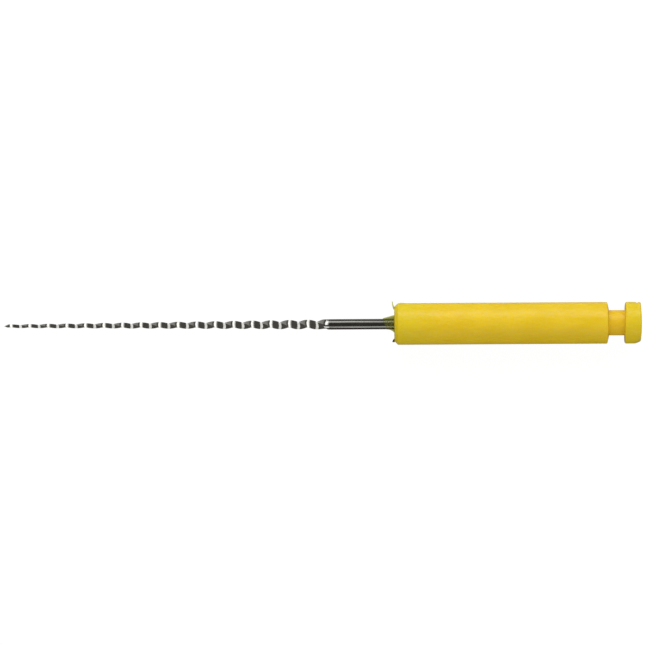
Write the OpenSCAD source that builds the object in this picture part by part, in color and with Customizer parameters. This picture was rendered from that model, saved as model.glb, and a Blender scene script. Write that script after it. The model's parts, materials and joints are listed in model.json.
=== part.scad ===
// Right-angle-handpiece endodontic file: a twisted steel wire with a moulded plastic latch grip.
// Millimetres. The X axis is the file's own axis, with the tip towards -X and the latch end
// towards +X. X = 0 is the front face of the grip, where the steel comes out of the plastic.

/* [Working part] */
// Diameter at the tip, the file's nominal size
tip_d = 0.20; // [0.15:0.01:0.22]
// Growth in diameter per millimetre of length
taper = 0.02; // [0.01:0.005:0.02]
// Length of one full turn of the twist
twist_pitch = 3.150; // [2.0:0.001:6.0]
// Distance from the axis to the middle of a flat, as a share of the edges' radius
core_share = 0.54; // [0.51:0.01:0.70]
// Length of the pointed tip
tip_len = 0.22; // [0.1:0.01:0.4]
// Distance from the grip to the last place where a cutting edge faces +Y
last_edge = 4.91; // [4.7:0.01:5.3]
// Length over which the three flats fade out into the round wire
runout_len = 0.70; // [0.4:0.05:1.0]

/* [Wire] */
// Diameter of the round wire
wire_d = 0.595; // [0.58:0.005:0.62]
// Length of wire outside the grip, tip included
reach = 22.10; // [18:0.05:23]
// Length of bare round wire between the flats' run-out and the grip
shank_len = 3.70; // [3.0:0.05:4.2]
// Length of the tail inside the grip
tail_len = 10.0; // [8:0.1:11]
// Thickness of the tail's two coined flats
coin_t = 0.28; // [0.26:0.01:0.40]
// Length of each coined flat
coin_len = 1.8; // [1.0:0.1:2.4]

/* [Latch grip] */
// Diameter of the shank that the handpiece holds
grip_d = 2.35; // [2.33:0.005:2.35]
// Length of the grip over everything
grip_len = 14.0; // [13.5:0.1:16]
// Size of the 45 degree bevel at the front rim
front_bevel = 0.20; // [0.1:0.01:0.25]
// Radius of the shank's rear corner
corner_r = 0.07; // [0.02:0.01:0.12]
// How far the shank's rear face leans back towards the neck
rear_lean = 0.10; // [0.02:0.01:0.15]
// Diameter of the latch neck
neck_d = 1.43; // [1.2:0.01:1.6]
// Width of the latch groove at the neck
groove_w = 0.90; // [0.7:0.01:1.2]
// Length of the latch head
head_len = 0.95; // [0.8:0.01:1.2]
// Radius of the latch head's corners
head_r = 0.10; // [0.05:0.01:0.2]
// Height of the domed end of the latch head
dome_h = 0.05; // [0.02:0.01:0.1]
// Distance from the axis to the drive flat
flat_offset = 0.675; // [0.65:0.005:0.75]
// Length of the drive flat, measured from the latch end
flat_len = 5.0; // [3:0.1:6]

/* [Moulding flash] */
// Length of the skin of plastic that crept along the wire
collar_len = 0.69; // [0.3:0.01:1.0]
// Thickness of the skin at its thin end
collar_thin = 0.035; // [0.03:0.005:0.06]
// Thickness of the skin where it meets the grip
collar_root = 0.22; // [0.15:0.01:0.30]
// How far the skin is off centre towards +Y
collar_shift = 0.02; // [0:0.005:0.025]
// Thickness of the long strand on the front rim
strand_d = 0.05; // [0.04:0.005:0.08]
// Distance from the axis to the long strand's root
strand_root_r = 0.86; // [0.80:0.01:0.90]
// Distance from the axis to the stub's root
stub_root_r = 0.92; // [0.85:0.01:0.92]

/* [Hidden] */
$fn = 96;
wire_r = wire_d / 2;
grip_r = grip_d / 2;
neck_r = neck_d / 2;
head_x = grip_len - head_len;
neck_x = head_x - groove_w;
blade_start = -reach;
blade_end = -shank_len;
edges = 3;
edge_gap = 360 / edges;
steps_per_turn = 24;
arc_steps = 6;
strand_lean = 54;
strand_bend_r = 0.67;
strand_sweep = 38;
stub_d = 1.5 * strand_d;
stub_lean = 37;
stub_bend_r = 0.16;
stub_sweep = 42;
buried_sweep = 20;

// Turns a shape whose axis is Z so that its axis is X, and moves it to x.
module along_x(x = 0) {
    translate([x, 0, 0]) rotate([0, 90, 0]) children();
}

// Points on an arc, first and last included.
function arc(centre, r, from, to) =
    [for (i = [0:arc_steps])
        let (a = from + (to - from) * i / arc_steps)
        centre + r * [cos(a), sin(a)]];

// How far the flats have faded out at x: 0 on the working part, 1 on the round wire. They rise in an
// arc, where the grinding wheel lifts off, and end at a clear edge.
function fade(x) = pow(min(max((x - blade_end + runout_len) / runout_len, 0), 1), 2);

// Radius of the cutting edges at x. It ends up just inside the round wire.
function edge_r(x) =
    let (tapered = (tip_d + taper * (x - blade_start)) / 2)
    tapered + (0.99 * wire_r - tapered) * fade(x);

// Distance from the axis to the middle of the flats at x.
function flat_r(x) = edge_r(x) * (core_share + (1 - core_share) * fade(x));

// Angle of the first edge at x, from +Y towards +Z.
function twist(x) = 360 * (x + last_edge) / twist_pitch;

// Angles of a ring's points across one flat, measured from the flat's normal.
flat_angles = [for (share = [-1, -0.35, 0.35, 1]) share * acos(core_share)];

// Corner points of the three-sided section at x.
function ring(x) =
    [for (side = [0:edges - 1], a = flat_angles)
        let (r = min(edge_r(x), flat_r(x) / cos(a)))
        let (turn = twist(x) + (side + 0.5) * edge_gap + a)
        [x, r * cos(turn), r * sin(turn)]];

// The twisted working part, from its point to just inside the round wire.
module blade() {
    first = blade_start + tip_len;
    last = blade_end + 0.1;
    count = ceil((last - first) / twist_pitch * steps_per_turn);
    rings = [for (i = [0:count]) ring(first + (last - first) * i / count)];
    n = len(rings[0]);
    points = [[blade_start, 0, 0], for (r = rings, p = r) p];
    tip_faces = [for (j = [0:n - 1]) [0, 1 + j, 1 + (j + 1) % n]];
    side_faces = [for (i = [0:count - 1], j = [0:n - 1], half = [0, 1])
        let (a = 1 + i * n + j, b = 1 + i * n + (j + 1) % n)
        half == 0 ? [a, a + n, b] : [b, a + n, b + n]];
    end_face = [for (j = [n - 1:-1:0]) 1 + count * n + j];
    polyhedron(points, [each tip_faces, each side_faces, end_face]);
}

// One coined flat of the tail, as wide as squeezing the round wire makes it.
module coined_flat(x) {
    half_w = PI * pow(wire_r, 2) / coin_t / 2 - coin_t / 2;
    along_x(x) linear_extrude(coin_len) {
        square([coin_t, 2 * half_w], center = true);
        for (side = [-1, 1]) translate([0, side * half_w]) circle(d = coin_t);
    }
}

// The end of the wire that the plastic grips, with two flats coined at right angles.
module tail() {
    first_flat = 0.12 * tail_len;
    second_flat = 0.52 * tail_len;
    along_x() cylinder(r = wire_r, h = first_flat);
    coined_flat(first_flat);
    along_x(first_flat + coin_len) cylinder(r = wire_r, h = second_flat - first_flat - coin_len);
    rotate([90, 0, 0]) coined_flat(second_flat);
    along_x(second_flat + coin_len) cylinder(r = wire_r, h = tail_len - second_flat - coin_len);
}

// The steel: working part, bare shank and tail, all one piece of wire.
module file_wire() {
    color([0.45, 0.45, 0.44]) {
        blade();
        along_x(blade_end) cylinder(r = wire_r, h = shank_len);
        tail();
    }
}

// Half of the grip's outline, as [distance from the axis, distance from the front face].
function grip_outline() =
    let (lean = atan(rear_lean / (grip_r - neck_r)))
    let (corner = [grip_r - corner_r, neck_x - rear_lean - corner_r])
    let (dome_edge = grip_r - head_r)
    let (dome_r = (pow(dome_edge, 2) + pow(dome_h, 2)) / (2 * dome_h))
    let (dome_a = asin(dome_edge / dome_r))
    let (rim = grip_len - dome_h - head_r)
    [
        [0, 0], [grip_r - front_bevel, 0], [grip_r, front_bevel],
        each arc(corner, corner_r, 0, 90 - lean),
        [neck_r, neck_x], [neck_r, head_x],
        each arc([dome_edge, head_x + head_r], head_r, -90, 0),
        each arc([dome_edge, rim], head_r, 0, 90 - dome_a),
        each arc([0, grip_len - dome_r], dome_r, 90 - dome_a, 90),
    ];

// The plastic latch grip, moulded round the tail, with the flat that the handpiece drives.
module latch_grip() {
    color([0.93, 0.78, 0.16]) difference() {
        along_x() rotate_extrude() polygon(grip_outline());
        translate([grip_len - flat_len, -grip_r, -flat_offset - grip_r])
            cube([flat_len + 1, grip_d, grip_r]);
        tail();
    }
}

// The skin of plastic that crept out of the mould along the wire.
module flash_collar() {
    thin_r = wire_r + collar_thin;
    flare = collar_root - collar_thin;
    outline = [
        [0, -collar_len],
        [thin_r, -collar_len],
        [thin_r + 0.37 * flare, -0.36 * collar_len],
        [thin_r + 0.70 * flare, -0.10 * collar_len],
        [thin_r + flare, 0],
        [0, 0],
    ];
    color([0.42, 0.45, 0.16]) difference() {
        translate([0, collar_shift, 0]) along_x() rotate_extrude() polygon(outline);
        along_x(-collar_len - 1) cylinder(r = wire_r, h = collar_len + 2);
    }
}

// A bent strand of flash that leaves the front face at root_r and curls outwards.
module strand(d, root_r, lean, bend_r, sweep) {
    centre = [0, root_r, 0] + bend_r * [sin(lean), cos(lean), 0];
    intersection() {
        translate(centre) rotate(270 - lean - sweep)
            rotate_extrude(angle = sweep + buried_sweep) translate([bend_r, 0]) circle(d = d);
        translate([-1, 0, -1]) cube([1, 2 * grip_r, 2]);
    }
}

// The long strand and the short stub left on the front rim where the mould's halves meet.
module flash_strands() {
    color([0.72, 0.72, 0.20]) {
        strand(strand_d, strand_root_r, strand_lean, strand_bend_r, strand_sweep);
        mirror([0, 1, 0]) strand(stub_d, stub_root_r, stub_lean, stub_bend_r, stub_sweep);
    }
}

file_wire();
latch_grip();
flash_collar();
flash_strands();
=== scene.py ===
import cmath
import json
import math

import bpy
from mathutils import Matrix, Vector, noise


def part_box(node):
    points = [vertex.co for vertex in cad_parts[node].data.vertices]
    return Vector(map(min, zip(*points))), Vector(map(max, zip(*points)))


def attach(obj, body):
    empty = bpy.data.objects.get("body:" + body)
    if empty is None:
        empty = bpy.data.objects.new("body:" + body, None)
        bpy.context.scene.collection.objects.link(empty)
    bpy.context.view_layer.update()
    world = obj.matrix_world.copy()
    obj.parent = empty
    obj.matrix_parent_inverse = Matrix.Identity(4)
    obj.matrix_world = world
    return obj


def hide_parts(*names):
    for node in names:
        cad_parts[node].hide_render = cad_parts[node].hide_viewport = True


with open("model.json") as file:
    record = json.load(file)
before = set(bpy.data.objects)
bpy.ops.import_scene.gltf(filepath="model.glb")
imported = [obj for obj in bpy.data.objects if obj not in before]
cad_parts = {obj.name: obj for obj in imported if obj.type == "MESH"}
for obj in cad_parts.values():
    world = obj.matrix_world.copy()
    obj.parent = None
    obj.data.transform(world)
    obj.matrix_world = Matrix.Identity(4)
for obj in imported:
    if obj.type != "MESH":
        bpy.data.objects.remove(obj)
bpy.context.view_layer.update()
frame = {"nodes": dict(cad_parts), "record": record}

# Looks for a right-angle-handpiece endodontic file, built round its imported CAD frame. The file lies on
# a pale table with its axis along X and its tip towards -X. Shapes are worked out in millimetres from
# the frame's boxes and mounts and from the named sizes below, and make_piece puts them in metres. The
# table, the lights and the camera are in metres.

MM = 0.001


# ---------------------------------------------------------------- sizes, in millimetres

def box_mm(node):
    """The lowest and highest corner of a CAD node."""
    low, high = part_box(node)
    return low / MM, high / MM


def cad_radius(node, x, span=0.03):
    """The largest distance from the axis of a CAD node's points near x."""
    near = [v.co / MM for v in frame["nodes"][node].data.vertices if abs(v.co.x / MM - x) < span]
    return max(math.hypot(p.y, p.z) for p in near)


mounts = {m["name"]: m for m in frame["record"]["mounts"]}
wire_low, wire_high = box_mm("file_wire")
grip_low, grip_high = box_mm("latch_grip")
collar_low, _ = box_mm("flash_collar")

# the working part of the wire
TIP_X = wire_low.x
TIP_D = 0.20
TAPER = 0.02
TWIST_PITCH = 3.150
CORE_SHARE = 0.54
TIP_LEN = 0.22
LAST_EDGE = 4.91
RUNOUT_LEN = 0.70
SHANK_START = -3.70
SHANK_BLEND = 0.2
WIRE_R = cad_radius("file_wire", SHANK_START)
# the tail of the wire, inside the grip
TAIL_END = wire_high.x
COIN_T = 0.28
COIN_LEN = 1.8
COIN_EASE = 0.15
COIN_STARTS = (0.12 * TAIL_END, 0.52 * TAIL_END)
# the grip
GRIP_R = mounts["handpiece_shank"]["dims"]["r_mm"]
GRIP_END = grip_high.x
NECK_R = mounts["latch_groove"]["dims"]["r_mm"]
NECK_W = mounts["latch_groove"]["dims"]["length_mm"]
NECK_MID = mounts["latch_groove"]["pos_m"][0] / MM
NECK_X = NECK_MID - NECK_W / 2
HEAD_X = NECK_MID + NECK_W / 2
FLAT_Z = -mounts["drive_flat"]["pos_m"][2] / MM
FLAT_LEN = 5.0
FLAT_X = GRIP_END - FLAT_LEN
FLAT_WALL = 0.03
FLAT_SOFT = 0.012
FRONT_BEVEL = 0.20
REAR_LEAN = 0.10
DOME_H = 0.05
DOME_SHARE = 0.98
DOME_CORE_SHARE = 0.06
BORE_GAP = 0.002
HEAD_LEAN = 0.019
# the roundings of the grip's corners, from the front face to the latch end
FACE_ROUND = 0.06
BEVEL_ROUND = 0.09
REAR_ROUND = 0.07
NECK_ROUND = 0.03
HEAD_ROOT_ROUND = 0.05
HEAD_ROUND = 0.10
END_ROUND = 0.9 * HEAD_ROUND
# the flash
COLLAR_LEN = -collar_low.x
COLLAR_SHORT = 0.46
COLLAR_ROOT = 0.22
COLLAR_BURIED = 0.004
SKIN_T = 0.036
SKIN_EDGE_T = 0.012
SKIN_INNER_GAP = 0.0006
SKIN_OUTER_GAP = 0.0008
STRAND_WEB = 0.055
STRAND_BURIED = 0.03
STRAND_FLATNESS = 0.7


# ---------------------------------------------------------------- small maths

def ease(t):
    """Smooth rise from 0 to 1 while t goes from 0 to 1."""
    t = min(max(t, 0.0), 1.0)
    return t * t * (3 - 2 * t)


def mix(a, b, t):
    """The value that lies the share t of the way from a to b."""
    return a + (b - a) * t


def bump(t, width):
    """A bell of height 1 at t = 0."""
    return math.exp(-(t / width) ** 2)


def angle_gap(a, b):
    """The smallest turn between two angles, in degrees."""
    return abs((a - b + 180) % 360 - 180)


def on_circle(x, r, a):
    """The point at x that is r from the axis, at angle a from +Y towards +Z."""
    return (x, r * math.cos(a), r * math.sin(a))


def steps(start, end, count):
    """Values from start to end, both included."""
    return [mix(start, end, i / count) for i in range(count + 1)]


def ripple(x, y, z, size):
    """Smooth noise from -1 to 1 with features of that size."""
    return noise.noise(Vector((x / size, y / size, z / size)))


# ---------------------------------------------------------------- meshes

def make_piece(name, points, faces, material, smooth_angle):
    """A piece on the root body, from points in millimetres. Edges over smooth_angle stay sharp."""
    mesh = bpy.data.meshes.new(name)
    mesh.from_pydata([Vector(p) * MM for p in points], [], faces)
    mesh.validate()
    mesh.materials.append(material)
    mesh.shade_smooth()
    mesh.set_sharp_from_angle(angle=math.radians(smooth_angle))
    piece = bpy.data.objects.new(name, mesh)
    bpy.context.scene.collection.objects.link(piece)
    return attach(piece, "root")


def loft(rings, start=None, end=None):
    """Points and faces of a skin through rings towards +X, closed by a point where one is given."""
    count = len(rings[0])
    points = [p for ring in rings for p in ring]
    faces = []
    for i in range(len(rings) - 1):
        low, high = i * count, (i + 1) * count
        for j in range(count):
            k = (j + 1) % count
            faces.append((low + j, low + k, high + k, high + j))
    for pole, base, turn in ((start, 0, 1), (end, (len(rings) - 1) * count, -1)):
        if pole is not None:
            points.append(pole)
            for j in range(count):
                fan = (base + (j + 1) % count, base + j, len(points) - 1)
                faces.append(fan[::turn])
    return points, faces


def fillet(corners, arc_steps=6):
    """A line through (x, r, rounding) corners, each rounded by an arc of its own radius."""
    line = []
    for i, (x, r, rounding) in enumerate(corners):
        if rounding == 0 or i in (0, len(corners) - 1):
            line.append((x, r))
            continue
        here = complex(x, r)
        back = complex(*corners[i - 1][:2]) - here
        on = complex(*corners[i + 1][:2]) - here
        back, on = back / abs(back), on / abs(on)
        half = abs(cmath.phase(on / back)) / 2
        centre = here + (back + on) / abs(back + on) * rounding / math.sin(half)
        first = here + back * rounding / math.tan(half) - centre
        last = here + on * rounding / math.tan(half) - centre
        turn = cmath.phase(last / first)
        for t in steps(0, turn, arc_steps):
            p = centre + first * cmath.exp(1j * t)
            line.append((p.real, p.imag))
    return line


def divide(line, longest):
    """The same line with points added so that no step along it is longer than that."""
    fine = []
    for (x0, r0), (x1, r1) in zip(line, line[1:]):
        parts = max(1, math.ceil(math.hypot(x1 - x0, r1 - r0) / longest))
        fine += [(mix(x0, x1, t), mix(r0, r1, t)) for t in steps(0, 1, parts)[:-1]]
    return fine + [line[-1]]


# ---------------------------------------------------------------- the steel wire

EDGES = 3
EDGE_GAP = 360.0 / EDGES
# points across a flat, and across each half of the land between two flats
FLAT_STEPS = 12
LAND_STEPS = 5
# the least that a flat reaches to each side of its middle, in degrees
LEAST_REACH = 4.0
# rings along the pointed tip, and counts of them along the rest
TIP_SHARES = (0.12, 0.3, 0.5, 0.7, 0.85)
STEPS_PER_TURN = 72
RUNOUT_STEPS = 36
SHANK_STEPS = 12
COIN_EASE_STEPS = 5


def fade(x):
    """How far the flats have risen, in an arc: 0 on the working part, 1 on the round wire."""
    return min(max((x - SHANK_START + RUNOUT_LEN) / RUNOUT_LEN, 0.0), 1.0) ** 2


def edge_r(x):
    """The distance from the axis of the cutting edges, or of the round wire, at x."""
    tapered = (TIP_D + TAPER * (x - TIP_X)) / 2
    return mix(tapered, WIRE_R, fade(x)) * min(1.0, (x - TIP_X) / TIP_LEN)


def wire_ring(x):
    """The section of the working part or of the round shank at x.

    Past the run-out the points even out round the circle, over SHANK_BLEND.
    """
    radius = edge_r(x)
    flat = radius * mix(CORE_SHARE, 1.0, fade(x))
    reach = max(math.degrees(math.acos(flat / radius)), LEAST_REACH)
    even = ease((x - SHANK_START) / SHANK_BLEND)
    twist = 360 * (min(x, SHANK_START + SHANK_BLEND) + LAST_EDGE) / TWIST_PITCH
    across = steps(-reach, reach, FLAT_STEPS)[:-1]
    across += steps(reach, EDGE_GAP - reach, 2 * LAND_STEPS)[:-1]
    ring = []
    for side in range(EDGES):
        for k, turn in enumerate(across):
            spread = mix(turn, k * EDGE_GAP / len(across) - reach, even)
            off = (spread + EDGE_GAP / 2) % EDGE_GAP - EDGE_GAP / 2
            r = min(radius, flat / math.cos(math.radians(off)))
            a = math.radians(twist + (side + 0.5) * EDGE_GAP + spread)
            ring.append(on_circle(x, r, a))
    return ring


def coin_stations():
    """The places along the tail where the coined flats start and stop."""
    places = []
    for start in COIN_STARTS:
        places += steps(start, start + COIN_EASE, COIN_EASE_STEPS)
        places += steps(start + COIN_LEN - COIN_EASE, start + COIN_LEN, COIN_EASE_STEPS)
    return places


def tail_r(x, a):
    """The distance from the axis of the coined tail's surface at x, at angle a from +Y."""
    half_t = COIN_T / 2
    straight = math.pi * WIRE_R ** 2 / COIN_T / 2 - half_t
    for i, start in enumerate(COIN_STARTS):
        squeeze = ease((x - start) / COIN_EASE) * ease((start + COIN_LEN - x) / COIN_EASE)
        if squeeze > 0:
            wide, thin = abs(math.cos(a)), abs(math.sin(a))
            if i == 1:
                wide, thin = thin, wide
            if half_t * wide <= straight * thin:
                coined = half_t / thin
            else:
                coined = straight * wide + math.sqrt(max(half_t ** 2 - (straight * thin) ** 2, 0))
            return mix(WIRE_R, coined, squeeze)
    return WIRE_R


def build_wire(material):
    blade_start = TIP_X + TIP_LEN
    blade_end = SHANK_START - RUNOUT_LEN
    blend_end = SHANK_START + SHANK_BLEND
    blade_turns = (blade_end - blade_start) / TWIST_PITCH
    tip = [TIP_X + TIP_LEN * t for t in TIP_SHARES]
    blade = steps(blade_start, blade_end, round(blade_turns * STEPS_PER_TURN))
    runout = steps(blade_end, blend_end, RUNOUT_STEPS)[1:]
    shank = steps(blend_end, 0, SHANK_STEPS)[1:]
    rings = [wire_ring(x) for x in tip + blade + runout + shank]
    angles = [math.atan2(z, y) for _, y, z in rings[-1]]
    for x in coin_stations():
        rings.append([on_circle(x, tail_r(x, a), a) for a in angles])
    rings.append([on_circle(TAIL_END, WIRE_R, a) for a in angles])
    points, faces = loft(rings, (TIP_X, 0, 0), (TAIL_END, 0, 0))
    return make_piece("file_wire_fine", points, faces, material, smooth_angle=25.0)


# ---------------------------------------------------------------- the latch grip

def spread_angles(count, focus, pull=14.0, width=2.2):
    """Angles round the axis, closer together near the focus angles."""
    fine = 7200
    total, sums = 0.0, [0.0]
    for i in range(fine):
        a = 360 * (i + 0.5) / fine
        total += 1 + pull * sum(bump(angle_gap(a, f), width) for f in focus)
        sums.append(total)
    angles, i = [], 0
    for n in range(count):
        while sums[i + 1] < total * n / count:
            i += 1
        angles.append(360 * i / fine)
    return angles


FLAT_HALF = math.degrees(math.acos(FLAT_Z / GRIP_R))
GRIP_ANGLES = spread_angles(168, (0, 180, 270 - FLAT_HALF, 270 + FLAT_HALF))
LONGEST_STEP = 0.12
DOME_STEPS = 14
# rings packed closely across the wall at the drive flat's end
WALL_REACH, WALL_STEPS = 0.035, 6
# marks of the moulding: heights in millimetres, widths round the axis in degrees
SEAM_H, SEAM_WIDTH = 0.004, 1.6
LIP_H, LIP_WIDTH, LIP_START, LIP_STOP = 0.022, 14, 0.20, 0.75
PIP_H, PIP_SIZE = 0.016, 0.06
PIPS = ((11.44, 73.0), (13.68, 117.0))
WORN_DEPTH, WORN_ANGLE, WORN_WIDTH, WORN_START = 0.12, 170, 34, 0.55
# the marks fade out below this radius, towards the neck
FULL_MARKS_R = 0.85 * GRIP_R


def dent(x, a, depth, at_x, length, at_angle, width):
    """A hollow at x and angle a, deepest at at_x and at_angle."""
    return -depth * bump(angle_gap(a, at_angle), width) * bump(x - at_x, length)


def pip(x, a, at_x, at_angle):
    """A small round pimple of height 1."""
    across = GRIP_R * math.radians(angle_gap(a, at_angle))
    return bump(math.hypot(x - at_x, across), PIP_SIZE)


def grip_marks(x, a):
    """How far the moulding stands proud of its plain outline at x, at angle a from +Y."""
    sides = bump(angle_gap(a, 0), SEAM_WIDTH) + bump(angle_gap(a, 180), SEAM_WIDTH)
    seam = SEAM_H * sides * ease(x / 0.3)
    # a raised lip behind the long strand, and the front rim pressed in beside it
    lip = LIP_H * bump(angle_gap(a, 0), LIP_WIDTH)
    lip *= ease((x - LIP_START) / 0.1)
    lip *= ease((LIP_STOP - x) / 0.4)
    edge = dent(x, a, depth=0.015, at_x=0.18, length=0.07, at_angle=0, width=20)
    pips = PIP_H * sum(pip(x, a, at_x, at_angle) for at_x, at_angle in PIPS)
    # a nick in the latch head's rim, and a worn corner of its end face
    nick = dent(x, a, depth=0.055, at_x=GRIP_END - 0.26, length=0.075, at_angle=2, width=16)
    worn = -WORN_DEPTH * bump(angle_gap(a, WORN_ANGLE), WORN_WIDTH)
    worn *= ease((x - HEAD_X - WORN_START) / 0.36)
    return seam + lip + edge + pips + nick + worn


def grip_point(x, r, a_deg):
    """A point of the grip's outer skin, with the drive flat cut and its edges a little rounded."""
    a = math.radians(a_deg)
    r += grip_marks(x, a_deg) * ease((r - NECK_R) / (FULL_MARKS_R - NECK_R))
    _, y, z = on_circle(x, r, a)
    below_skin = -GRIP_R - 0.05
    cut = mix(below_skin, -FLAT_Z, ease((x - FLAT_X + FLAT_WALL) / (2 * FLAT_WALL)))
    over = z - cut
    z = cut + (over + math.sqrt(over * over + FLAT_SOFT * FLAT_SOFT)) / 2
    lean = HEAD_LEAN * y * ease((x - NECK_MID) / 0.3) * ease((GRIP_END - 0.3 - x) / 0.4)
    return (x + lean, y, max(z, -GRIP_R))


def build_grip(material):
    rim = GRIP_END - DOME_H
    dome_r = GRIP_R - END_ROUND
    flat_edge = [(FLAT_X + d, GRIP_R, 0) for d in steps(-WALL_REACH, WALL_REACH, WALL_STEPS)]
    outline = fillet([
        (0, WIRE_R + BORE_GAP, 0),
        (0, GRIP_R - FRONT_BEVEL, FACE_ROUND),
        (FRONT_BEVEL, GRIP_R, BEVEL_ROUND),
        *flat_edge,
        (NECK_X - REAR_LEAN, GRIP_R, REAR_ROUND),
        (NECK_X, NECK_R, NECK_ROUND),
        (HEAD_X, NECK_R, HEAD_ROOT_ROUND),
        (HEAD_X, GRIP_R, HEAD_ROUND),
        (rim, GRIP_R, END_ROUND),
        (rim, dome_r * DOME_SHARE, 0),
    ])
    dome = [(rim + DOME_H * (1 - (r / dome_r) ** 2), r)
            for r in steps(dome_r * DOME_SHARE, dome_r * DOME_CORE_SHARE, DOME_STEPS)]
    angles = [math.radians(a) for a in GRIP_ANGLES]
    bore_end = TAIL_END + BORE_GAP
    rings = [[on_circle(x, tail_r(x, a) + BORE_GAP, a) for a in angles]
             for x in [bore_end] + coin_stations()[::-1]]
    for x, r in divide(outline[:-1] + dome, LONGEST_STEP):
        rings.append([grip_point(x, r, a) for a in GRIP_ANGLES])
    points, faces = loft(rings, (bore_end, 0, 0), (GRIP_END, 0, 0))
    return make_piece("latch_grip_fine", points, faces, material, smooth_angle=40.0)


# ---------------------------------------------------------------- the flash

def collar_outer(s, a):
    """A point of the skin's outside: s is 0 at its front edge and 1 at the grip, a is from +Y."""
    y, z = math.cos(a), math.sin(a)
    top = (1 + y) / 2
    rag = 0.05 * ripple(y, z, 0.3, 0.45) * top ** 0.3
    front = -mix(COLLAR_SHORT, COLLAR_LEN - 0.005, top ** 1.1) * (1 - max(0, rag))
    x = mix(front, COLLAR_BURIED, s)
    thin = mix(SKIN_EDGE_T, SKIN_T, top)
    wing = abs(y) ** 5
    root = mix(SKIN_T, COLLAR_ROOT * mix(0.97, 1.0, top), wing)
    thick = mix(thin, root, s ** mix(2.5, 1.0, ease(top)))
    thick *= 1 + 0.08 * ripple(x, y, z, 0.2) * (1 - s)
    thick *= ease(0.25 + s * 9)
    return on_circle(x, WIRE_R + SKIN_OUTER_GAP + thick, a)


def build_collar(material):
    """A thin uneven skin on the wire, with a wing on each side in the mould's parting plane."""
    around, along = 96, 26
    angles = [2 * math.pi * j / around for j in range(around)]
    outer = [[collar_outer(i / along, a) for a in angles] for i in range(along + 1)]
    inner = [[on_circle(point[0], WIRE_R + SKIN_INNER_GAP, a) for point, a in zip(ring, angles)]
             for ring in outer]
    rings = outer + inner[::-1]
    points, faces = loft(rings)
    base = (len(rings) - 1) * around
    for j in range(around):
        k = (j + 1) % around
        faces.append((base + j, base + k, k, j))
    return make_piece("flash_collar_fine", points, faces, material, smooth_angle=60.0)


def build_strand(name, material, side, root_r, lean, bend_r, sweep, thick, end_thick):
    """A bent sliver on the front face that curls away from the axis. side is 1 for +Y, -1 for -Y."""
    tilt = math.radians(lean)
    centre = Vector((bend_r * math.sin(tilt), root_r + bend_r * math.cos(tilt), 0))
    around, along = 16, 32
    buried_turn = math.degrees(STRAND_BURIED / bend_r)
    up = Vector((0, 0, 1))
    rings = []
    for s in steps(0, 1, along):
        a = math.radians(270 - lean + buried_turn * (1 - s) - sweep * s)
        out = Vector((math.cos(a), math.sin(a), 0))
        r = mix(thick, end_thick, s ** 0.8) / 2
        web = STRAND_WEB * max(0.0, 1 - s / 0.6) ** 2
        wobble = 0.15 * r * ripple(s, side, 0.5, 0.15)
        mid = centre + out * (bend_r + wobble - 0.6 * web)
        ring = []
        for t in steps(0, 2 * math.pi, around)[:-1]:
            p = mid + out * (r + web) * math.cos(t) + up * r * STRAND_FLATNESS * math.sin(t)
            ring.append((p.x, side * p.y, p.z))
        rings.append(ring)
    ends = [tuple(sum(p[n] for p in ring) / around for n in range(3))
            for ring in (rings[0], rings[-1])]
    points, faces = loft(rings, ends[0], ends[1])
    if side < 0:
        faces = [f[::-1] for f in faces]
    return make_piece(name, points, faces, material, smooth_angle=60.0)


# ---------------------------------------------------------------- materials

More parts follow.
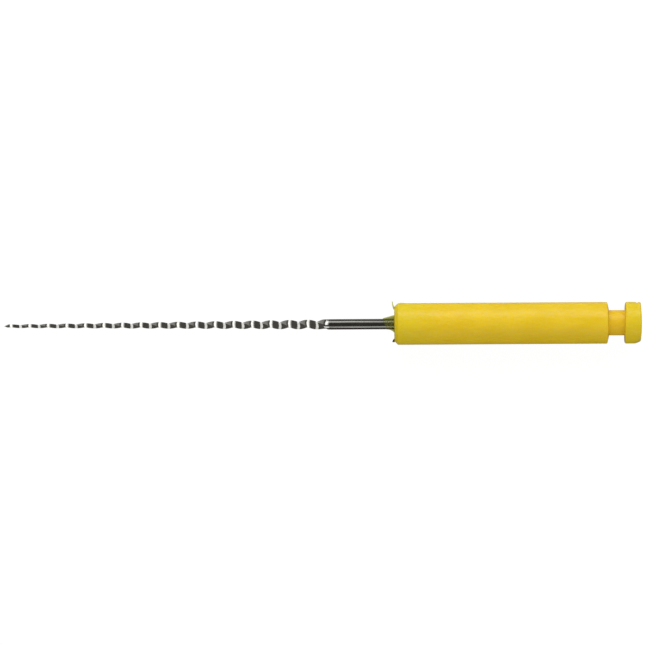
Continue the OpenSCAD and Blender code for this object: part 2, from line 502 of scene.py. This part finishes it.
class Nodes:
    """A short way to build the nodes of a material or a world."""

    def __init__(self, owner, output, place):
        self.owner = owner
        owner.use_nodes = True
        self.tree = owner.node_tree
        self.tree.nodes.clear()
        self.out = self.node(output)
        self.place = self.node("ShaderNodeTexCoord").outputs[place]

    def node(self, kind, **settings):
        made = self.tree.nodes.new(kind)
        for key, value in settings.items():
            setattr(made, key, value)
        return made

    def link(self, a, b):
        self.tree.links.new(a, b)

    def feed(self, socket, value):
        """Puts a number, a colour or another node's output into a socket."""
        if hasattr(value, "links"):
            self.link(value, socket)
        else:
            socket.default_value = value

    def noise(self, size, stretch, detail, rough):
        """Noise with features of that size in millimetres, and stretch times as long along X."""
        scaled = self.node("ShaderNodeVectorMath", operation="DIVIDE")
        self.link(self.place, scaled.inputs[0])
        scaled.inputs[1].default_value = (size * stretch, size, size)
        made = self.node("ShaderNodeTexNoise")
        self.link(scaled.outputs[0], made.inputs["Vector"])
        made.inputs["Scale"].default_value = 1.0
        made.inputs["Detail"].default_value = detail
        made.inputs["Roughness"].default_value = rough
        return made.outputs["Fac"]

    def math(self, operation, a, b):
        made = self.node("ShaderNodeMath", operation=operation)
        self.feed(made.inputs[0], a)
        self.feed(made.inputs[1], b)
        return made.outputs[0]

    def add(self, a, b):
        return self.math("ADD", a, b)

    def times(self, a, b):
        return self.math("MULTIPLY", a, b)

    def spread(self, value, low, high, to_low=0.0, to_high=1.0):
        """Maps low..high to to_low..to_high, smoothly and clamped."""
        made = self.node("ShaderNodeMapRange", interpolation_type="SMOOTHSTEP")
        self.feed(made.inputs["Value"], value)
        for key, number in (("From Min", low), ("From Max", high),
                            ("To Min", to_low), ("To Max", to_high)):
            made.inputs[key].default_value = number
        return made.outputs["Result"]

    def blend(self, share, a, b):
        """Colour a where share is 0 and colour b where it is 1."""
        made = self.node("ShaderNodeMix", data_type="RGBA")
        for index, value in ((0, share), (6, a), (7, b)):
            self.feed(made.inputs[index], value)
        return made.outputs[2]

    def axis(self, index):
        """The x, y or z of the place being shaded."""
        made = self.node("ShaderNodeSeparateXYZ")
        self.link(self.place, made.inputs[0])
        return made.outputs[index]

    def bump(self, height, depth_mm, under=None):
        made = self.node("ShaderNodeBump")
        self.feed(made.inputs["Height"], height)
        made.inputs["Strength"].default_value = 1.0
        made.inputs["Distance"].default_value = depth_mm * MM
        if under is not None:
            self.link(under, made.inputs["Normal"])
        return made.outputs["Normal"]

    def shader(self, kind, **inputs):
        made = self.node(kind)
        for key, value in inputs.items():
            self.feed(made.inputs[key.replace("_", " ")], value)
        return made.outputs[0]

    def principled(self, **inputs):
        return self.shader("ShaderNodeBsdfPrincipled", **inputs)

    def mix_shader(self, share, a, b):
        """Shader a where share is 0 and shader b where it is 1."""
        made = self.node("ShaderNodeMixShader")
        for index, value in enumerate((share, a, b)):
            self.feed(made.inputs[index], value)
        return made.outputs[0]

    def finish(self, shader):
        self.link(shader, self.out.inputs["Surface"])
        return self.owner


def material_nodes(name):
    """The nodes of a new material, with places in millimetres."""
    m = Nodes(bpy.data.materials.new(name), "ShaderNodeOutputMaterial", "Object")
    scaled = m.node("ShaderNodeVectorMath", operation="SCALE")
    m.link(m.place, scaled.inputs[0])
    scaled.inputs["Scale"].default_value = 1 / MM
    m.place = scaled.outputs[0]
    return m


def rgb(red, green, blue):
    """A colour given as it looks on screen, from 0 to 255."""
    return tuple(((c / 255 + 0.055) / 1.055) ** 2.4 if c > 10 else c / 255 / 12.92
                 for c in (red, green, blue)) + (1.0,)


GRIP_YELLOW = rgb(227, 191, 24)
GRIP_YELLOW_PALE = rgb(232, 197, 34)
GRIP_LEMON = rgb(214, 200, 20)
# the amber of the painted bounce light in the neck's recess
PAINTED_BOUNCE_AMBER = rgb(233, 188, 20)
GROUND_STEEL = rgb(180, 180, 176)
GROUND_BLOTCH = rgb(128, 128, 121)
DRAWN_STEEL = rgb(132, 132, 128)
DRAWN_STREAK = rgb(90, 88, 84)
DRAWN_BLOTCH = rgb(92, 86, 76)
SKIN_CLEAR = rgb(254, 255, 248)
SKIN_HAZE = rgb(203, 212, 97)
SKIN_ROOT = rgb(190, 184, 64)
SKIN_DYE = (0.48, 0.49, 0.05, 1.0)
SKIN_DENSITY = 7.2
LIME, LIME_THROUGH = rgb(214, 216, 74), rgb(222, 224, 110)
BROWN, BROWN_THROUGH = rgb(92, 76, 20), rgb(110, 92, 30)


def steel_material():
    """Bright ground flats with short fine lines, and a darker drawn shank with long ones."""
    m = material_nodes("file_steel")
    on_shank = m.spread(m.axis(0), SHANK_START - 0.04, SHANK_START + 0.03)
    draw_lines = m.noise(0.010, stretch=60, detail=4, rough=0.6)
    grind_lines = m.noise(0.008, stretch=9, detail=4, rough=0.6)
    lines = m.blend(on_shank, grind_lines, draw_lines)
    streaks = m.spread(m.noise(0.045, stretch=45, detail=3, rough=0.6), 0.35, 0.70)
    blotches = m.spread(m.noise(0.11, stretch=1.6, detail=4, rough=0.65), 0.40, 0.72)
    ground = m.blend(m.times(blotches, 0.45), GROUND_STEEL, GROUND_BLOTCH)
    drawn = m.blend(m.times(streaks, 0.75), DRAWN_STEEL, DRAWN_STREAK)
    drawn = m.blend(m.times(blotches, 0.25), drawn, DRAWN_BLOTCH)
    base = m.blend(on_shank, ground, drawn)
    rough = m.add(m.times(lines, 0.08), m.spread(on_shank, 0, 1, 0.07, 0.11))
    normal = m.bump(lines, 0.0002)
    return m.finish(m.principled(Base_Color=base, Metallic=1.0, Roughness=rough, Normal=normal))


def plastic_material():
    """Yellow plastic, greener at the front and on the head, with painted bounce light warming the neck,
    a little uneven.
    """
    m = material_nodes("grip_plastic")
    x = m.axis(0)
    cloud = m.noise(0.9, stretch=1.6, detail=4, rough=0.55)
    speck = m.noise(0.22, stretch=1.6, detail=3, rough=0.6)
    grain = m.noise(0.035, stretch=1, detail=2, rough=0.6)
    patches = m.noise(0.42, stretch=1.5, detail=3, rough=0.6)
    gloss = m.noise(0.15, stretch=1.4, detail=2, rough=0.5)
    front = m.spread(x, 3.0, 0.0)
    head = m.spread(x, HEAD_X - 0.05, HEAD_X + 0.15)
    # painted bounce light: an amber tint over the neck's recess stands in for light thrown between the
    # groove's walls
    neck_bounce = m.times(m.spread(x, NECK_X - 0.3, NECK_X + 0.1),
                   m.spread(x, HEAD_X + 0.05, HEAD_X - 0.1))
    yellow = m.blend(m.spread(cloud, 0.35, 0.7), GRIP_YELLOW, GRIP_YELLOW_PALE)
    tints = ((front, 0.40, GRIP_LEMON), (head, 0.30, GRIP_LEMON), (neck_bounce, 0.40, PAINTED_BOUNCE_AMBER))
    for where, share, tint in tints:
        yellow = m.blend(m.times(where, share), yellow, tint)
    rough = m.add(m.spread(speck, 0.35, 0.65, -0.02, 0.02),
                  m.spread(patches, 0.40, 0.62, 0.32, 0.44))
    normal = None
    for height, depth_mm in ((cloud, 0.005), (patches, 0.006), (speck, 0.018), (grain, 0.0007)):
        normal = m.bump(height, depth_mm, normal)
    return m.finish(m.principled(
        Base_Color=yellow, Roughness=rough, Normal=normal, IOR=1.42,
        Specular_IOR_Level=m.spread(gloss, 0.38, 0.62, 0.28, 0.72), Subsurface_Weight=0.25,
        Subsurface_Radius=(1.0, 0.7, 0.1), Subsurface_Scale=0.3 * MM))


def flash_cloud(m):
    """Slow changes over the flash, from 0 to 1."""
    return m.spread(m.noise(0.12, stretch=2, detail=3, rough=0.6), 0.35, 0.7)


def flash_surface(m, colour):
    """The uneven surface that the skin and the strands share."""
    ripples = m.bump(m.noise(0.05, stretch=2, detail=3, rough=0.6), 0.003)
    return m.principled(Base_Color=colour, Roughness=0.3, Normal=ripples)


def skin_material():
    """Thin see-through plastic that takes up more of the light where it is thicker."""
    m = material_nodes("flash_skin")
    near_grip = m.spread(m.axis(0), -0.50, 0.0)
    clear = m.shader("ShaderNodeBsdfTransparent", Color=SKIN_CLEAR)
    haze = flash_surface(m, m.blend(near_grip, SKIN_HAZE, SKIN_ROOT))
    share = m.add(m.times(flash_cloud(m), 0.03), m.spread(near_grip, 0, 1, 0.03, 0.10))
    dye = m.shader("ShaderNodeVolumeAbsorption", Color=SKIN_DYE, Density=SKIN_DENSITY / MM)
    m.link(dye, m.out.inputs["Volume"])
    return m.finish(m.mix_shader(share, clear, haze))


def strand_material(name, body, through):
    """A sliver of plastic, cloudy enough to glow a little when lit from behind."""
    m = material_nodes(name)
    skin = flash_surface(m, m.blend(m.times(flash_cloud(m), 0.4), body, through))
    glow = m.shader("ShaderNodeBsdfTranslucent", Color=through)
    return m.finish(m.mix_shader(0.4, skin, glow))


# ---------------------------------------------------------------- the stage

WHITE = (1, 1, 1, 1)
TABLE_SIZE = 3.0
PAPER_GLOW = 0.95
ROOM_GLOW, ROOM_COLOUR = 0.125, (1.0, 0.94, 0.86, 1)
TABLE_GLOW, TABLE_COLOUR = 0.32, (1.0, 1.0, 0.96, 1)
SOFT_LOW, SOFT_HIGH = 0.15, 0.50
LIGHT_DISTANCE = 0.30
CAMERA_LENS, CAMERA_SENSOR = 400.0, 36.0
CAMERA_MARGIN = 1.0118
CAMERA_ROLL = 0.33
AIM_X, AIM_Y = -0.02, 0.11


def build_floor():
    """The table top. Reflections and bounced light come from the world instead."""
    mesh = bpy.data.meshes.new("table_top")
    z = grip_low.z * MM
    corners = ((-1, -1), (1, -1), (1, 1), (-1, 1))
    mesh.from_pydata([(TABLE_SIZE * x, TABLE_SIZE * y, z) for x, y in corners], [], [(0, 1, 2, 3)])
    m = material_nodes("table_paper")
    fibre = m.noise(0.8, stretch=1, detail=3, rough=0.6)
    paper = m.principled(Base_Color=m.blend(fibre, rgb(70, 70, 70), rgb(78, 78, 78)), Roughness=0.9,
                         Emission_Color=WHITE, Emission_Strength=PAPER_GLOW)
    mesh.materials.append(m.finish(paper))
    floor = bpy.data.objects.new("table_top", mesh)
    bpy.context.scene.collection.objects.link(floor)
    floor.visible_glossy = False
    floor.visible_diffuse = False


def build_world():
    """White to the camera. Reflections see a dim room with a paler table on the +Y side."""
    world = bpy.data.worlds.new("studio")
    bpy.context.scene.world = world
    w = Nodes(world, "ShaderNodeOutputWorld", "Generated")
    up, across = w.axis(2), w.axis(1)
    ray = w.node("ShaderNodeLightPath").outputs

    def glow(colour, strength):
        return w.shader("ShaderNodeBackground", Color=colour, Strength=strength)

    table = w.times(w.spread(up, 0.05, -0.25, 0.0, TABLE_GLOW), w.spread(across, 0.0, 0.35))
    mirrored = w.node("ShaderNodeAddShader")
    w.link(glow(TABLE_COLOUR, table), mirrored.inputs[0])
    w.link(glow(ROOM_COLOUR, ROOM_GLOW), mirrored.inputs[1])
    soft = glow(WHITE, w.spread(up, -0.4, 0.4, SOFT_LOW, SOFT_HIGH))
    unseen = w.mix_shader(ray["Is Glossy Ray"], soft, mirrored.outputs[0])
    w.finish(w.mix_shader(ray["Is Camera Ray"], unseen, glow(WHITE, 1.0)))


def area_light(name, off_zenith, length, width, radiance, towards_x=0.0):
    """A soft box with its length along X, off_zenith degrees from overhead towards +Y."""
    data = bpy.data.lights.new(name, "AREA")
    data.shape = "RECTANGLE"
    data.size, data.size_y = length, width
    data.energy = radiance * math.pi * length * width
    light = bpy.data.objects.new(name, data)
    a = math.radians(off_zenith)
    light.location = (towards_x, LIGHT_DISTANCE * math.sin(a), LIGHT_DISTANCE * math.cos(a))
    light.rotation_euler = (-a, 0, 0)
    bpy.context.scene.collection.objects.link(light)
    return light


def build_lights(wire):
    area_light("key_low", 61, length=0.80, width=0.135, radiance=2.35, towards_x=-0.004)
    area_light("key_high", 42, length=0.80, width=0.085, radiance=0.88, towards_x=-0.004)
    side = area_light("side_soft", 84, length=0.60, width=0.24, radiance=0.66)
    side.data.color = (0.90, 1.0, 0.86)
    side.visible_glossy = False
    glint = area_light("fill_glint", -65, length=0.70, width=0.175, radiance=1.5)
    glint.visible_diffuse = False
    steel_only = bpy.data.collections.new("steel_only")
    steel_only.objects.link(wire)
    glint.light_linking.receiver_collection = steel_only
    fill = area_light("fill_soft", -52, length=0.50, width=0.20, radiance=1.15)
    fill.visible_glossy = False


def build_camera():
    """Straight above the file, with the file across the whole picture and a little askew."""
    width = (GRIP_END - TIP_X) * CAMERA_MARGIN
    centre = Vector(((GRIP_END + TIP_X) / 2 + AIM_X, AIM_Y, 0)) * MM
    data = bpy.data.cameras.new("camera")
    data.lens, data.sensor_width = CAMERA_LENS, CAMERA_SENSOR
    data.clip_start, data.clip_end = 0.01, 10.0
    camera = bpy.data.objects.new("camera", data)
    camera.location = centre + Vector((0, 0, width * MM * CAMERA_LENS / CAMERA_SENSOR))
    camera.rotation_euler = (0, 0, -math.radians(CAMERA_ROLL))
    bpy.context.scene.collection.objects.link(camera)
    bpy.context.scene.camera = camera


# ---------------------------------------------------------------- put it together

def dress():
    """Builds every piece in place of its CAD node, and returns the wire."""
    lime = strand_material("flash_strand", LIME, LIME_THROUGH)
    brown = strand_material("flash_stub", BROWN, BROWN_THROUGH)
    wire = build_wire(steel_material())
    grip = build_grip(plastic_material())
    collar = build_collar(skin_material())
    long_strand = build_strand("flash_strand_long", lime, side=1, root_r=0.875, lean=58,
                               bend_r=0.71, sweep=34, thick=0.080, end_thick=0.050)
    stub = build_strand("flash_strand_stub", brown, side=-1, root_r=0.92, lean=37,
                        bend_r=0.16, sweep=46, thick=0.150, end_thick=0.120)
    for piece, node, slot in (
        (wire, "file_wire", "steel"),
        (grip, "latch_grip", "yellow_plastic"),
        (collar, "flash_collar", "flash_plastic"),
        (long_strand, "flash_strands", "flash_plastic"),
        (stub, "flash_strands", "flash_plastic"),
    ):
        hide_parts(node)
    return wire


wire = dress()
build_floor()
build_world()
build_lights(wire)
build_camera()
bpy.context.scene.view_settings.view_transform = "Standard"
